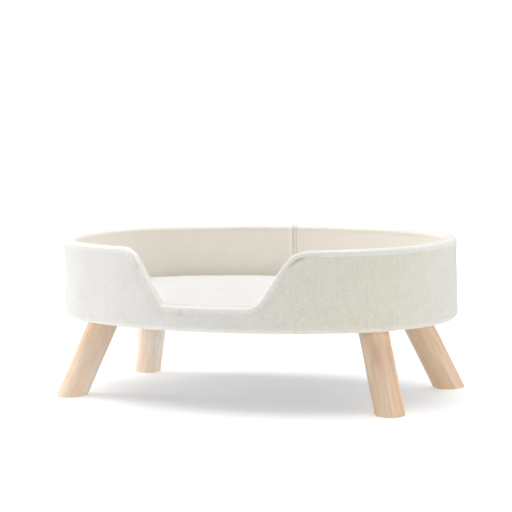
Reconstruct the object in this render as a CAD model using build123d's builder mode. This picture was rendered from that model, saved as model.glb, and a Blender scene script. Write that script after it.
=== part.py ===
from build123d import *
import os
from math import atan2, cos, degrees, radians, sin, tan

# Raised cat bed: an oval padded tub with a low entrance, a loose pad and four splayed legs.
# +X is to the right, +Y to the back, +Z up. The origin is on the floor below the middle of the tub.

# Overall
bed_length = 600
bed_depth = 386
end_radius = 160
leg_height = 114
wall_height = 114

# Entrance, seen from the front; its lip is measured from the tub's underside
entrance_bottom_width = 146
entrance_lip_height = 35
entrance_slope_angle = 57.2
entrance_shift = 13
entrance_bottom_radius = 28
entrance_top_radius = 40

# Layers of the wall, from the outside inwards
cover_thickness = 2.4
foam_thickness = 4
wall_board_thickness = 4
lining_thickness = 2.4
layer_gap = 0.3

# Rim and lower edge
rim_height = 8
rim_round = 6
bottom_round = 8
hem_width = 30

# Floor of the tub
base_thickness = 12
dust_cover_thickness = 0.8
floor_cover_thickness = 2.4

# Closing joint of the wall board, at the back
joint_shift = -20
joint_slit = 1
strip_width = 50
strip_thickness = 2
strip_margin = 6

# Staples
staple_wire = 1.1
wall_staple_proud = 0.15
wall_staple_width = 10
wall_staple_length = 11
wall_staple_count = 22
hem_staple_width = 9
hem_staple_length = 8
hem_staple_inset = 21
hem_staple_count = 32

# Legs
leg_radius = 21
leg_splay_angle = 26.5
leg_turn_angle = 45
leg_end_inset = 88
leg_side_inset = 119
foot_chamfer = 1.2

# Hanger bolts and the tee nuts that they screw into
bolt_radius = 4
bolt_depth_in_leg = 25
bolt_setback = 0.5
bolt_chamfer = 0.8
bolt_hole_relief = 2
thread_clearance = 0.05
hole_clearance = 0.25
tee_barrel_radius = 5.2
tee_barrel_length = 9
tee_flange_radius = 11
tee_flange_thickness = 1.5
tee_prong_length = 6
tee_prong_width = 2.6
tee_prong_thickness = 1.2

# Loose pad
pad_thickness = 23
pad_edge_height = 19
pad_clearance = 0.8
pad_seat_gap = 0.3
pad_edge_roll = 7
pad_crown_run = 100
pad_skin = 1.8

# Section of the pad: shares of edge height and edge roll, then shares of the crown's rise and run
pad_side_shares = [(0, 0.7), (0.12, 0.3), (0.3, 0.06), (0.5, 0), (0.7, 0.06), (0.88, 0.35), (1, 1)]
pad_crown_shares = [(0.35, 0.22), (0.7, 0.5), (0.92, 0.78), (1, 1)]

# Which side of the middle each leg stands on, in X and in Y
leg_sides = {
    "front_left": (-1, -1),
    "front_right": (1, -1),
    "back_left": (-1, 1),
    "back_right": (1, 1),
}

# Cuts run this far past what they cut
overrun = 5

os.makedirs("parts", exist_ok=True)

half_length = bed_length / 2
half_depth = bed_depth / 2
total_height = leg_height + wall_height

# The oval is four tangent arcs
corner_square = half_length**2 + half_depth**2
side_radius = (corner_square - 2 * half_length * end_radius) / (2 * (half_depth - end_radius))
end_centre = half_length - end_radius
side_centre = side_radius - half_depth
end_half_angle = degrees(atan2(side_centre, end_centre))

# Insets of the layers from the outer face
outer_foam_inset = cover_thickness + layer_gap
wall_board_inset = outer_foam_inset + foam_thickness + layer_gap
base_inset = wall_board_inset + wall_board_thickness + layer_gap
lining_inset = base_inset + foam_thickness + layer_gap
wall_thickness = lining_inset + lining_thickness
dust_cover_inset = bottom_round + layer_gap

# Levels
leg_top = leg_height + cover_thickness
base_bottom = leg_top + dust_cover_thickness
base_top = base_bottom + base_thickness
floor_top = base_top + floor_cover_thickness
layer_drop = rim_height + layer_gap
layer_top = total_height - layer_drop
pad_bottom = floor_top + pad_seat_gap
pad_inset = wall_thickness + pad_clearance

# Tops of the legs
leg_x = half_length - leg_end_inset
leg_y = half_depth - leg_side_inset
leg_spots = [(side * leg_x, end * leg_y) for side, end in leg_sides.values()]
prong_ring = (tee_flange_radius + tee_barrel_radius) / 2


def oval(inset):
    # An inset keeps the arcs' centres, so nested ovals are parallel
    with BuildSketch() as face:
        with BuildLine():
            CenterArc((end_centre, 0), end_radius - inset, -end_half_angle, 2 * end_half_angle)
            CenterArc((0, -side_centre), side_radius - inset, end_half_angle, 180 - 2 * end_half_angle)
            CenterArc((-end_centre, 0), end_radius - inset, 180 - end_half_angle, 2 * end_half_angle)
            CenterArc((0, side_centre), side_radius - inset, 180 + end_half_angle, 180 - 2 * end_half_angle)
        make_face()
    return face.sketch


def ring(outer_inset, inner_inset):
    with BuildSketch() as face:
        add(oval(outer_inset))
        add(oval(inner_inset), mode=Mode.SUBTRACT)
    return face.sketch


def space_above_rim(drop):
    # All that lies over the front wall's top edge, lowered by drop square to that edge
    angle = radians(entrance_slope_angle)
    top = total_height - drop
    lip = leg_height + entrance_lip_height - drop
    bottom_half = entrance_bottom_width / 2 + drop * tan(angle / 2)
    top_half = bottom_half + (top - lip) / tan(angle)
    far = half_length + overrun
    high = total_height + overrun
    with BuildPart() as space:
        with BuildSketch(Plane.XZ):
            with BuildLine():
                FilletPolyline(
                    (-far, top),
                    (entrance_shift - top_half, top),
                    (entrance_shift - bottom_half, lip),
                    (entrance_shift + bottom_half, lip),
                    (entrance_shift + top_half, top),
                    (far, top),
                    radius=[
                        entrance_top_radius - drop,
                        entrance_bottom_radius + drop,
                        entrance_bottom_radius + drop,
                        entrance_top_radius - drop,
                    ],
                )
                Polyline((far, top), (far, high), (-far, high), (-far, top))
            make_face()
        extrude(amount=half_depth + overrun)
    return space.part


def stations(inset, level, count):
    # Planes evenly spaced round an oval: x along it, z square to it and into the tub
    outline = oval(inset).wire()
    planes = []
    for number in range(count):
        share = (number + 0.5) / count
        place = outline.position_at(share)
        along = outline.tangent_at(share)
        inward = Vector(-along.Y, along.X, 0)
        planes.append(Plane(origin=(place.X, place.Y, level), x_dir=along, z_dir=inward))
    return planes


def staple(width, length):
    # Crown on the plane, legs along its z
    with BuildPart() as wire:
        with BuildSketch():
            Rectangle(width, staple_wire)
        extrude(amount=staple_wire)
        with BuildSketch():
            with GridLocations(width - staple_wire, 0, 2, 1):
                Rectangle(staple_wire, staple_wire)
        extrude(amount=length)
    return wire.part


def pad_body(skin):
    # Oval sections stacked into a crowned pad, with every face moved in by skin
    rise = pad_thickness - pad_edge_height
    sections = [(high * pad_edge_height, inward * pad_edge_roll) for high, inward in pad_side_shares]
    for high, inward in pad_crown_shares:
        sections.append((pad_edge_height + high * rise, pad_edge_roll + inward * pad_crown_run))
    squeeze = (pad_thickness - 2 * skin) / pad_thickness
    with BuildPart() as body:
        for high, inward in sections:
            with BuildSketch(Plane.XY.offset(pad_bottom + skin + high * squeeze)):
                add(oval(pad_inset + inward + skin))
        loft(ruled=True)
    return body.part


rim_space = space_above_rim(0)
band_space = space_above_rim(rim_height)
layer_space = space_above_rim(layer_drop)
seam_place = (joint_shift, half_depth)
board_middle = base_bottom + base_thickness / 2

wall_staple = staple(wall_staple_width, wall_staple_length)
wall_staple_spots = [
    Location(flat)
    for flat in stations(wall_board_inset - wall_staple_proud, board_middle, wall_staple_count)
]
hem_staple = staple(hem_staple_width, hem_staple_length)
hem_staple_spots = [
    Location(Plane(origin=flat.origin, x_dir=flat.x_dir, z_dir=(0, 0, 1)))
    for flat in stations(hem_staple_inset, leg_height - staple_wire, hem_staple_count)
]

# Base board: plywood, with holes and seats for the tee nuts
with BuildPart() as base_board:
    with BuildSketch(Plane.XY.offset(base_bottom)):
        add(oval(base_inset))
        with Locations(*leg_spots):
            Circle(tee_barrel_radius + hole_clearance, mode=Mode.SUBTRACT)
    extrude(amount=base_thickness)
    with BuildSketch(Plane.XY.offset(base_top)):
        with Locations(*leg_spots):
            Circle(tee_flange_radius + hole_clearance)
    extrude(amount=-tee_flange_thickness, mode=Mode.SUBTRACT)
    with BuildSketch(Plane.XY.offset(base_top - tee_flange_thickness)):
        with Locations(*leg_spots):
            with PolarLocations(prong_ring, 4):
                Rectangle(tee_prong_thickness, tee_prong_width)
    extrude(amount=-tee_prong_length, mode=Mode.SUBTRACT)
    with Locations(*wall_staple_spots):
        add(wall_staple, mode=Mode.SUBTRACT)
    with Locations(*hem_staple_spots):
        add(hem_staple, mode=Mode.SUBTRACT)
base_board.part.label = "base_board"
export_step(base_board.part, "parts/base_board.step")

# Wall board: thin sheet bent round the base board, open at its closing joint
with BuildPart() as wall_board:
    with BuildSketch(Plane.XY.offset(base_bottom)):
        add(ring(wall_board_inset, wall_board_inset + wall_board_thickness))
        with Locations(seam_place):
            Rectangle(joint_slit, half_depth, mode=Mode.SUBTRACT)
    extrude(amount=layer_top - base_bottom)
    add(layer_space, mode=Mode.SUBTRACT)
    with Locations(*wall_staple_spots):
        add(wall_staple, mode=Mode.SUBTRACT)
wall_board.part.label = "wall_board"
export_step(wall_board.part, "parts/wall_board.step")

# Strip that bridges the closing joint on the inside
with BuildPart() as wall_joint_strip:
    with BuildSketch(Plane.XY.offset(base_top + strip_margin)):
        add(ring(base_inset, base_inset + strip_thickness))
        with Locations(seam_place):
            Rectangle(strip_width, half_depth, mode=Mode.INTERSECT)
    extrude(amount=layer_top - base_top - 2 * strip_margin)
wall_joint_strip.part.label = "wall_joint_strip"
export_step(wall_joint_strip.part, "parts/wall_joint_strip.step")

# Staples through the wall board into the base board's edge
with BuildPart() as wall_staples:
    with Locations(*wall_staple_spots):
        add(wall_staple)
wall_staples.part.label = "wall_staples"
export_step(wall_staples.part, "parts/wall_staples.step")

# Staples that hold the turned hem and the dust cover
with BuildPart() as hem_staples:
    with Locations(*hem_staple_spots):
        add(hem_staple)
hem_staples.part.label = "hem_staples"
export_step(hem_staples.part, "parts/hem_staples.step")

# Foam glued to the outside of the wall board
with BuildPart() as outer_foam:
    with BuildSketch(Plane.XY.offset(leg_top + layer_gap)):
        add(oval(outer_foam_inset))
    extrude(amount=layer_top - leg_top - layer_gap)
    fillet(outer_foam.faces().sort_by(Axis.Z)[0].edges(), radius=bottom_round - outer_foam_inset)
    with BuildSketch(Plane.XY.offset(leg_height)):
        add(oval(outer_foam_inset + foam_thickness))
    extrude(amount=wall_height, mode=Mode.SUBTRACT)
    add(layer_space, mode=Mode.SUBTRACT)
outer_foam.part.label = "outer_foam"
export_step(outer_foam.part, "parts/outer_foam.step")

# Foam glued to the inside, with a seat for the joint strip
with BuildPart() as inner_foam:
    with BuildSketch(Plane.XY.offset(base_top)):
        add(ring(base_inset, base_inset + foam_thickness))
    extrude(amount=layer_top - base_top)
    add(layer_space, mode=Mode.SUBTRACT)
    with BuildSketch(Plane.XY.offset(base_top + strip_margin - layer_gap)):
        add(ring(wall_board_inset, base_inset + strip_thickness + layer_gap))
        with Locations(seam_place):
            Rectangle(strip_width + 2 * layer_gap, half_depth, mode=Mode.INTERSECT)
    extrude(amount=layer_top - base_top - 2 * (strip_margin - layer_gap), mode=Mode.SUBTRACT)
inner_foam.part.label = "inner_foam"
export_step(inner_foam.part, "parts/inner_foam.step")

# Outer cover: down the outside, round the lower edge and turned under as a hem
with BuildPart() as cover_hollow:
    with BuildSketch(Plane.XY.offset(leg_top)):
        add(oval(cover_thickness))
    extrude(amount=wall_height)
    fillet(cover_hollow.faces().sort_by(Axis.Z)[0].edges(), radius=bottom_round - cover_thickness)
    with BuildSketch(Plane.XY.offset(leg_height)):
        add(oval(hem_width))
    extrude(amount=wall_height)

with BuildPart() as outer_cover:
    with BuildSketch(Plane.XY.offset(leg_height)):
        add(oval(0))
    extrude(amount=layer_top - leg_height)
    fillet(outer_cover.faces().sort_by(Axis.Z)[0].edges(), radius=bottom_round)
    add(cover_hollow.part, mode=Mode.SUBTRACT)
    add(layer_space, mode=Mode.SUBTRACT)
    with Locations(*hem_staple_spots):
        add(hem_staple, mode=Mode.SUBTRACT)
outer_cover.part.label = "outer_cover"
export_step(outer_cover.part, "parts/outer_cover.step")

# Lining of the wall's inner face
with BuildPart() as wall_lining:
    with BuildSketch(Plane.XY.offset(floor_top)):
        add(ring(lining_inset, wall_thickness))
    extrude(amount=layer_top - floor_top)
    add(layer_space, mode=Mode.SUBTRACT)
wall_lining.part.label = "wall_lining"
export_step(wall_lining.part, "parts/wall_lining.step")

# Padded band along the whole top edge, down into the entrance and up again
with BuildPart() as below_band:
    with BuildSketch(Plane.XY.offset(leg_height)):
        add(ring(-overrun, wall_thickness + overrun))
    extrude(amount=wall_height - rim_height)
    add(band_space, mode=Mode.SUBTRACT)

with BuildPart() as rim_band:
    with BuildSketch(Plane.XY.offset(leg_height)):
        add(ring(0, wall_thickness))
    extrude(amount=wall_height)
    add(rim_space, mode=Mode.SUBTRACT)
    curved_edges = rim_band.edges().filter_by(GeomType.LINE, reverse=True)
    fillet(curved_edges.filter_by(lambda edge: edge.center().Z > floor_top), radius=rim_round)
    add(below_band.part, mode=Mode.SUBTRACT)
rim_band.part.label = "rim_band"
export_step(rim_band.part, "parts/rim_band.step")

# Fabric on the tub's floor, under the wall lining's lower edge
with BuildPart() as floor_cover:
    with BuildSketch(Plane.XY.offset(base_top)):
        add(oval(lining_inset))
    extrude(amount=floor_cover_thickness)
floor_cover.part.label = "floor_cover"
export_step(floor_cover.part, "parts/floor_cover.step")

# Cloth on the underside, its edge held under the hem
with BuildPart() as dust_cover:
    with BuildSketch(Plane.XY.offset(leg_top)):
        add(oval(dust_cover_inset))
        with Locations(*leg_spots):
            Circle(bolt_radius + hole_clearance, mode=Mode.SUBTRACT)
    extrude(amount=dust_cover_thickness)
    with Locations(*hem_staple_spots):
        add(hem_staple, mode=Mode.SUBTRACT)
dust_cover.part.label = "dust_cover"
export_step(dust_cover.part, "parts/dust_cover.step")

# Legs: round bars, splayed outwards and cut level at both ends, each with its bolt and tee nut
splay = radians(leg_splay_angle)
turn = radians(leg_turn_angle)
for name, (side, end) in leg_sides.items():
    spot = (side * leg_x, end * leg_y)
    down = Vector(side * cos(turn) * sin(splay), end * sin(turn) * sin(splay), -cos(splay))
    bar = Plane(origin=(*spot, leg_top), z_dir=down)

    with BuildPart() as leg:
        with BuildSketch(bar.offset(-leg_radius)):
            Circle(leg_radius)
        extrude(amount=2 * leg_radius + leg_top / cos(splay))
        split(bisect_by=Plane.XY, keep=Keep.TOP)
        split(bisect_by=Plane.XY.offset(leg_top), keep=Keep.BOTTOM)
        chamfer(leg.faces().sort_by(Axis.Z)[0].edges(), length=foot_chamfer)
        with BuildSketch(Plane.XY.offset(leg_top)):
            with Locations(spot):
                Circle(bolt_radius + hole_clearance)
        extrude(amount=-bolt_depth_in_leg - bolt_hole_relief, mode=Mode.SUBTRACT)
    leg.part.label = name + "_leg"
    export_step(leg.part, f"parts/{name}_leg.step")

    with BuildPart() as bolt:
        with BuildSketch(Plane.XY.offset(leg_top - bolt_depth_in_leg)):
            with Locations(spot):
                Circle(bolt_radius)
        extrude(amount=bolt_depth_in_leg + dust_cover_thickness + base_thickness - bolt_setback)
        chamfer(bolt.edges().filter_by(GeomType.CIRCLE), length=bolt_chamfer)
    bolt.part.label = name + "_bolt"
    export_step(bolt.part, f"parts/{name}_bolt.step")

    with BuildPart() as tee_nut:
        with BuildSketch(Plane.XY.offset(base_top)):
            with Locations(spot):
                Circle(tee_flange_radius)
        extrude(amount=-tee_flange_thickness)
        with BuildSketch(Plane.XY.offset(base_top - tee_flange_thickness)):
            with Locations(spot):
                Circle(tee_barrel_radius)
        extrude(amount=-tee_barrel_length)
        with BuildSketch(Plane.XY.offset(base_top - tee_flange_thickness)):
            with Locations(spot):
                with PolarLocations(prong_ring, 4):
                    Rectangle(tee_prong_thickness, tee_prong_width)
        extrude(amount=-tee_prong_length)
        with BuildSketch(Plane.XY.offset(base_top)):
            with Locations(spot):
                Circle(bolt_radius + thread_clearance)
        extrude(amount=-base_thickness, mode=Mode.SUBTRACT)
    tee_nut.part.label = name + "_tee_nut"
    export_step(tee_nut.part, f"parts/{name}_tee_nut.step")

# Loose pad: a crowned cover over its filling, closed by an underside panel
whole_pad = pad_body(0)
panel_top = Plane.XY.offset(pad_bottom + pad_skin)

with BuildPart() as cushion_cover:
    add(whole_pad)
    split(bisect_by=panel_top, keep=Keep.TOP)
    add(pad_body(pad_skin), mode=Mode.SUBTRACT)
cushion_cover.part.label = "cushion_cover"
export_step(cushion_cover.part, "parts/cushion_cover.step")

with BuildPart() as cushion_underside:
    add(whole_pad)
    split(bisect_by=panel_top, keep=Keep.BOTTOM)
cushion_underside.part.label = "cushion_underside"
export_step(cushion_underside.part, "parts/cushion_underside.step")

with BuildPart() as cushion_filling:
    add(pad_body(pad_skin + layer_gap))
cushion_filling.part.label = "cushion_filling"
export_step(cushion_filling.part, "parts/cushion_filling.step")
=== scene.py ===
from math import atan2, cos, pi, radians, sin, tan

import bpy
import numpy as np
from mathutils import Matrix, Vector, noise


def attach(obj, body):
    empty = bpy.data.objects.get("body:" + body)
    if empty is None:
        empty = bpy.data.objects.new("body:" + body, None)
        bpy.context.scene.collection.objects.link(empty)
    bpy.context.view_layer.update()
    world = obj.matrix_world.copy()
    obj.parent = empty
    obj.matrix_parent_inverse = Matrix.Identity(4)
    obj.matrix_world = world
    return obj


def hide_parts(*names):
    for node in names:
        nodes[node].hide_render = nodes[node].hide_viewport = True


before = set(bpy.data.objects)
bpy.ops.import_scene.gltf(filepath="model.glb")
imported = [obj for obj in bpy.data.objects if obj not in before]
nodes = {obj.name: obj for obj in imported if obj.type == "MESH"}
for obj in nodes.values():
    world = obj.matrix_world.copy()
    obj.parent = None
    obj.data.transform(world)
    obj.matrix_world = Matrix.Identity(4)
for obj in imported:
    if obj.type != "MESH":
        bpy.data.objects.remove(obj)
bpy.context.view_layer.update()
scene = bpy.context.scene
print("frame loaded:", len(nodes), "nodes")

# Shape of the tub, shared by all its soft pieces, in metres
tub = {
    "halfLength": 0.3,
    "halfDepth": 0.193,
    "endRadius": 0.16,
    "underside": 0.114,
    "top": 0.228,
    "floorTop": 0.1316,
    "thickness": 0.018,
    "stationStep": 0.0026,
}

# Entrance, seen from the front; its left and right corners are not rounded alike
entrance = {
    "middle": 0.0131,
    "bottomWidth": 0.1458,
    "lipLevel": 0.1496,
    "slopeAngle": 57.4,
    "bottomRadii": (0.0125, 0.0368),
    "topRadii": (0.0303, 0.0461),
}

# Cloth pushed together on the entrance's left slope and along its lip
# A relief is (height, size of its lumps, seed, stretch)
rumple = {
    "lumps": (0.0008, 0.0026, 4),
    "ripples": (0.00056, 0.0065, 5),
    "squash": 0.4,
    "reach": (0.005, 0.017),  # distances from the edge over which it dies away
    "stopAtTop": (-0.012, -0.001),
    "lipStart": (-0.03, 0.02),
    "lessOnLip": 0.5,
    "lipEnd": (0.03, 0.09),
    "fineMiddle": -0.075,
    "fineReach": 0.075,
    "fineStep": 0.0009,
}

# Little fold of the band right of the entrance, with the crease under it
fold = {
    "middle": 0.1385,
    "height": 0.0018,
    "halfWidth": 0.0036,
    "creaseStart": (-0.008, -0.002),  # from the fold's middle
    "creaseEnd": (0.006, 0.0195),
    "creaseDepth": 0.0019,
    "creaseWidth": 0.0014,
    "patches": (1, 0.035, 9),
    "patchReach": (0.05, 0.45),
    "patchDepth": 0.0001,
}

# The cloth's closing seam at the back: two lines of stitches and the doubled cloth beside them
backSeam = {
    "stitchLines": (-0.0214, -0.0164),
    "outerLine": -0.019,
    "grooveWidth": 0.001,
    "grooveDepth": 0.0008,
    "weltMiddle": -0.0248,
    "weltHalfWidth": 0.0036,
    "weltHeight": 0.0008,
    "weltEdge": (-0.0008, 0.0006),
    "doubledEdge": (0.003, 0.0042),
    "fineStep": 0.0005,
    "fineReach": 0.012,
}


def ovalArcs():
    # (centre x, centre y, radius, first turn, last turn) of each arc
    a, b, r = tub["halfLength"], tub["halfDepth"], tub["endRadius"]
    sideRadius = (a * a + b * b - 2 * a * r) / (2 * (b - r))
    endCentre, sideCentre = a - r, sideRadius - b
    half = atan2(sideCentre, endCentre)
    return (
        (endCentre, 0, r, 0, half),
        (0, -sideCentre, sideRadius, half, pi - half),
        (-endCentre, 0, r, pi - half, pi + half),
        (0, sideCentre, sideRadius, pi + half, 2 * pi - half),
        (endCentre, 0, r, 2 * pi - half, 2 * pi),
    )


arcs = ovalArcs()
arcEnds = np.cumsum([r * (t1 - t0) for _, _, r, t0, t1 in arcs])
ovalLength = float(arcEnds[-1])


def ovalAt(lengths):
    # Points and outward directions at these lengths round the outer face, from the right end by the back
    place, out = np.zeros((len(lengths), 2)), np.zeros((len(lengths), 2))
    which = np.minimum(np.searchsorted(arcEnds, lengths, side="right"), len(arcs) - 1)
    for k, (cx, cy, r, t0, _) in enumerate(arcs):
        here = which == k
        turn = t0 + (lengths[here] - (arcEnds[k - 1] if k else 0)) / r
        out[here] = np.stack([np.cos(turn), np.sin(turn)], 1)
        place[here] = out[here] * r + (cx, cy)
    return place, out


def evenLengths(count):
    return (np.arange(count) + 0.5) * ovalLength / count


def topEdge(x, y, drop):
    # Level of the wall's top edge, lowered by drop square to that edge, with the entrance cut in front
    slope = radians(entrance["slopeAngle"])
    top = tub["top"] - drop
    lip = entrance["lipLevel"] - drop
    u = np.abs(x - entrance["middle"])
    onLeft = x < entrance["middle"]
    upper = np.where(onLeft, *entrance["topRadii"]) - drop
    lower = np.where(onLeft, *entrance["bottomRadii"]) + drop
    lowCorner = entrance["bottomWidth"] / 2 + drop * tan(slope / 2)
    highCorner = lowCorner + (top - lip) / tan(slope)
    lowRun, highRun = lower * tan(slope / 2), upper * tan(slope / 2)
    hollow = lip + lower - np.sqrt(np.maximum(lower**2 - (u - lowCorner + lowRun) ** 2, 0))
    crest = top - upper + np.sqrt(np.maximum(upper**2 - (u - highCorner - highRun) ** 2, 0))
    line = lip + (u - lowCorner) * tan(slope)
    beyond = (y >= 0) | (u > highCorner + highRun)
    onCrest, onLine = u > highCorner - highRun * cos(slope), u > lowCorner + lowRun * cos(slope)
    return np.select([beyond, onCrest, onLine, u < lowCorner - lowRun], [top, crest, line, lip], hollow)


def below(drop, low=0, share=0):
    # Level that far below the top edge, and then that share of the way down to the low level
    return lambda x, y: topEdge(x, y, drop) * (1 - share) + low * share


def quarterTurn(steps):
    # Sines and cosines of even steps from 0 to a quarter turn
    return [(sin(k / steps * pi / 2), cos(k / steps * pi / 2)) for k in range(steps + 1)]


def relief(points, height, size, seed, stretch=(1, 1, 1)):
    # Smooth noise up to about that height either way, with lumps of that size; each seed looks elsewhere
    shift = Vector((seed * 7.31, seed * 3.17, seed * 5.53))
    k = np.array([1 / (size * s) for s in stretch])
    return height * np.array([noise.noise(Vector(p) + shift) for p in points * k])


def fade(value, low, high):
    t = np.clip((value - low) / (high - low), 0, 1)
    return t * t * (3 - 2 * t)


def bell(distance, width):
    return np.exp(-((distance / width) ** 2))


def unrolled(along, level, squash):
    # The wall laid out flat, for patterns that run round it
    return np.stack([along, level * squash, along * 0], 1)


def tubStations():
    # Even steps round the tub, closer together across the closing seam and beside the entrance
    lengths = evenLengths(round(ovalLength / tub["stationStep"]))
    for x, side, reach, step in (
        (backSeam["outerLine"], 1, backSeam["fineReach"], backSeam["fineStep"]),
        (rumple["fineMiddle"], -1, rumple["fineReach"], rumple["fineStep"]),
    ):
        place, _ = ovalAt(lengths)
        middle = lengths[np.argmin(np.hypot(place[:, 0] - x, place[:, 1] - side * tub["halfDepth"]))]
        fine = np.arange(middle - reach, middle + reach, step)
        lengths = np.concatenate([lengths[lengths < middle - reach], fine, lengths[lengths > middle + reach]])
    return lengths


stations = tubStations()


def ringPoints(rows, lengths):
    # Points round the tub and their outward directions, column by column
    # Each row is (inset, level), its level a number or a function of x and y
    place, out = ovalAt(lengths)
    points = np.zeros((len(lengths), len(rows), 3))
    for j, (inset, level) in enumerate(rows):
        xy = place - out * inset
        points[:, j, :2] = xy
        points[:, j, 2] = level(xy[:, 0], xy[:, 1]) if callable(level) else level
    return points.reshape(-1, 3), np.repeat(out, len(rows), axis=0)


def ringFaces(points, rows, closed=False):
    # Quads round the tub, and round its rows too where closed
    faces, count = [], len(rows)
    columns = len(points) // count
    for i in range(columns):
        nxt = (i + 1) % columns
        for j in range(count if closed else count - 1):
            up = (j + 1) % count
            faces.append((i * count + j, nxt * count + j, nxt * count + up, i * count + up))
    return faces


def flipped(faces):
    return [tuple(reversed(f)) for f in faces]


def hold(obj, **layers):
    # Numbers for each point of a mesh, which finishes and trees read by name
    for name, values in layers.items():
        layer = obj.data.attributes.new(name, "FLOAT", "POINT")
        layer.data.foreach_set("value", np.asarray(values, dtype=np.float32))


def smooth(mesh):
    mesh.polygons.foreach_set("use_smooth", [True] * len(mesh.polygons))
    mesh.update()


def meshObject(name, points, faces, edges=(), cloth=0, **layers):
    # Object of these points, with cloth of that thickness behind its faces
    mesh = bpy.data.meshes.new(name)
    mesh.from_pydata([tuple(map(float, p)) for p in points], edges, faces)
    smooth(mesh)
    obj = bpy.data.objects.new(name, mesh)
    scene.collection.objects.link(obj)
    hold(obj, **layers)
    if cloth:
        thick = obj.modifiers.new("cloth", "SOLIDIFY")
        thick.thickness, thick.offset = cloth, -1
    return obj


def dress(obj, finish):
    obj.data.materials.clear()
    obj.data.materials.append(finish)


def settle(piece, finish, body, slotName, *solids):
    # Its finish, the solids that it stands for and the body that carries it; the slot name is not used
    dress(piece, finish)
    if solids:
        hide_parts(*solids)
    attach(piece, body)
    print(piece.name, "made:", len(piece.data.polygons), "faces")
    return piece


def parting(points, lines):
    # 1 along these lines at the back, where the pile parts
    x = np.where(points[:, 1] > 0, points[:, 0], 1)
    return sum(bell(x - line, backSeam["grooveWidth"]) for line in lines)


def seamRelief(points):
    # Doubled cloth beside the closing seam, with a groove along each line of stitches
    x = np.where(points[:, 1] > 0, points[:, 0], 1)
    beside = np.abs(x - backSeam["weltMiddle"]) - backSeam["weltHalfWidth"]
    welt = backSeam["weltHeight"] * (1 - fade(beside, *backSeam["weltEdge"]))
    return welt - backSeam["grooveDepth"] * parting(points, backSeam["stitchLines"])


def doubled(points):
    # 1 on the doubled cloth, where a highlight is painted for the light that it catches
    beside = np.abs(points[:, 0] - backSeam["weltMiddle"])
    return np.where(points[:, 1] > 0, 1 - fade(beside, *backSeam["doubledEdge"]), 0)


def besideEntrance(points):
    # 1 in the strip where the cloth is pushed together
    x, y, step = points[:, 0], points[:, 1], 0.001
    edge = topEdge(x, y, 0)
    steep = (topEdge(x + step, y, 0) - topEdge(x - step, y, 0)) / (2 * step)
    near = 1 - fade((edge - points[:, 2]) / np.sqrt(1 + steep**2), *rumple["reach"])
    near *= 1 - fade(edge - tub["top"], *rumple["stopAtTop"])
    return near * (1 - rumple["lessOnLip"] * fade(x, *rumple["lipStart"])) * (1 - fade(x, *rumple["lipEnd"]))


def entranceRumple(points, along):
    ripples = relief(unrolled(along, points[:, 2], rumple["squash"]), *rumple["ripples"])
    return besideEntrance(points) * (relief(points, *rumple["lumps"]) + ripples)


def crease(points):
    # 1 along the crease under the fold
    x = points[:, 0] - fold["middle"]
    return fade(x, *fold["creaseStart"]) * (1 - fade(x, *fold["creaseEnd"])) * (points[:, 1] < 0)


def drawnIn(points):
    # How far cover and band draw in where they meet: hardly, but for the crease
    patches = fade(relief(points * (1, 1, 0), *fold["patches"]), *fold["patchReach"])
    return fold["creaseDepth"] * crease(points) + fold["patchDepth"] * patches


# Nodes of finishes and trees
def feed(tree, value, socket):
    # Links another node's output, or sets a number, vector or colour
    if isinstance(value, bpy.types.NodeSocket):
        tree.links.new(value, socket)
    elif socket.type == "RGBA":
        socket.default_value = (*value, 1)
    else:
        socket.default_value = value


def addNode(tree, kind, feeds=(), **settings):
    node = tree.nodes.new(kind)
    for key, value in settings.items():
        setattr(node, key, value)
    for key, value in dict(feeds).items():
        feed(tree, value, node.inputs[key])
    return node


def objectPattern(tree, scale=(1, 1, 1), turn=(0, 0, 0), centre=(0, 0, 0)):
    # Object coordinates, moved to a centre, turned, then scaled
    spot = addNode(tree, "ShaderNodeTexCoord").outputs["Object"]
    feeds = {"Vector": spot, "Location": centre, "Rotation": turn, "Scale": [1 / s for s in scale]}
    return addNode(tree, "ShaderNodeMapping", feeds, vector_type="TEXTURE").outputs["Vector"]


def noiseNode(tree, vector, scale, detail=3, roughness=0.55, distortion=0):
    feeds = {"Scale": scale, "Detail": detail, "Roughness": roughness, "Distortion": distortion}
    return addNode(tree, "ShaderNodeTexNoise", {"Vector": vector, **feeds}).outputs["Fac"]


def rampNode(tree, factor, stops):
    node = addNode(tree, "ShaderNodeValToRGB", {"Fac": factor})
    elements = node.color_ramp.elements
    while len(elements) < len(stops):
        elements.new(0.5)
    for element, (place, colour) in zip(elements, stops):
        element.position = place
        element.color = (*colour, 1)
    return node.outputs["Color"]


def mixColour(tree, factor, a, b, blend="MULTIPLY"):
    mix = addNode(tree, "ShaderNodeMix", {0: factor, 6: a, 7: b}, data_type="RGBA", blend_type=blend)
    return mix.outputs[2]


def mathNode(tree, operation, *values):
    return addNode(tree, "ShaderNodeMath", enumerate(values), operation=operation).outputs[0]


def times(tree, a, b):
    return mathNode(tree, "MULTIPLY", a, b)


def rangeNode(tree, value, low=0, high=1, reach=(0, 1), kind="LINEAR"):
    # From low to high while the value goes through its reach
    feeds = {"Value": value, "From Min": reach[0], "From Max": reach[1], "To Min": low, "To Max": high}
    return addNode(tree, "ShaderNodeMapRange", feeds, interpolation_type=kind).outputs["Result"]


def axisNodes(tree, vector=None):
    return addNode(tree, "ShaderNodeSeparateXYZ", {0: vector or objectPattern(tree)}).outputs


def bumpNode(tree, height, distance, strength, under=None):
    feeds = {"Height": height, "Distance": distance, "Strength": strength}
    if under:
        feeds["Normal"] = under
    return addNode(tree, "ShaderNodeBump", feeds).outputs["Normal"]


def attributeNode(tree, name):
    return addNode(tree, "ShaderNodeAttribute", attribute_name=name).outputs["Fac"]


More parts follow.
